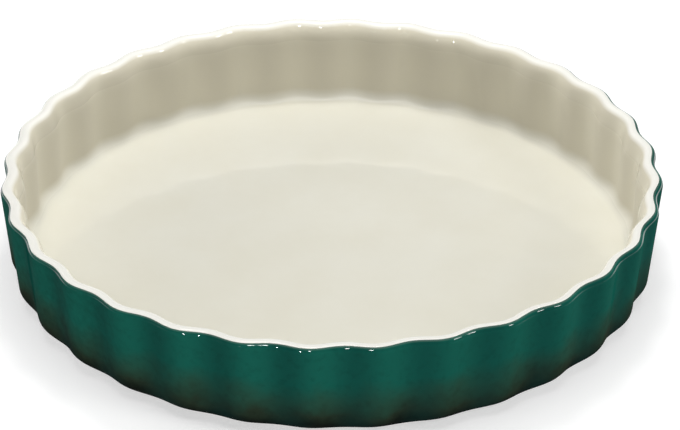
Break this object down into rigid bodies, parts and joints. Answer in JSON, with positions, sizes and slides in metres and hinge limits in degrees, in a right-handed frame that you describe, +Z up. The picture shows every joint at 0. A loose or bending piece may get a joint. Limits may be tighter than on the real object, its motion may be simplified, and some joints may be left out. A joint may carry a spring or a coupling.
{
  "type": "quiche dish",
  "caption": "Shallow round baking dish with a fluted, slightly flared wall, a flat floor and a bare foot ring; green glaze outside, cream glaze inside and over the rim.",
  "frame": {"origin": "centre of the dish in plan, on the plane that the foot ring rests on", "axes": "+Z up along the dish's axis, from foot to rim; a lobe of the wall is centred on +X, -X, +Y and -Y"},
  "size_m": [0.28, 0.28, 0.045],
  "materials": {
    "bare_stoneware": "unglazed, fine sandy grain",
    "cream_glaze": "glossy cream glaze",
    "green_glaze": "glossy dark green glaze, darker towards the foot",
    "green_base_glaze": "glossy dark green glaze"
  },
  "bodies": {
    "root": {"stoneware_body": "bare_stoneware", "lining_glaze": "cream_glaze", "wall_glaze": "green_glaze", "base_glaze": "green_base_glaze"}
  },
  "joints": []
}
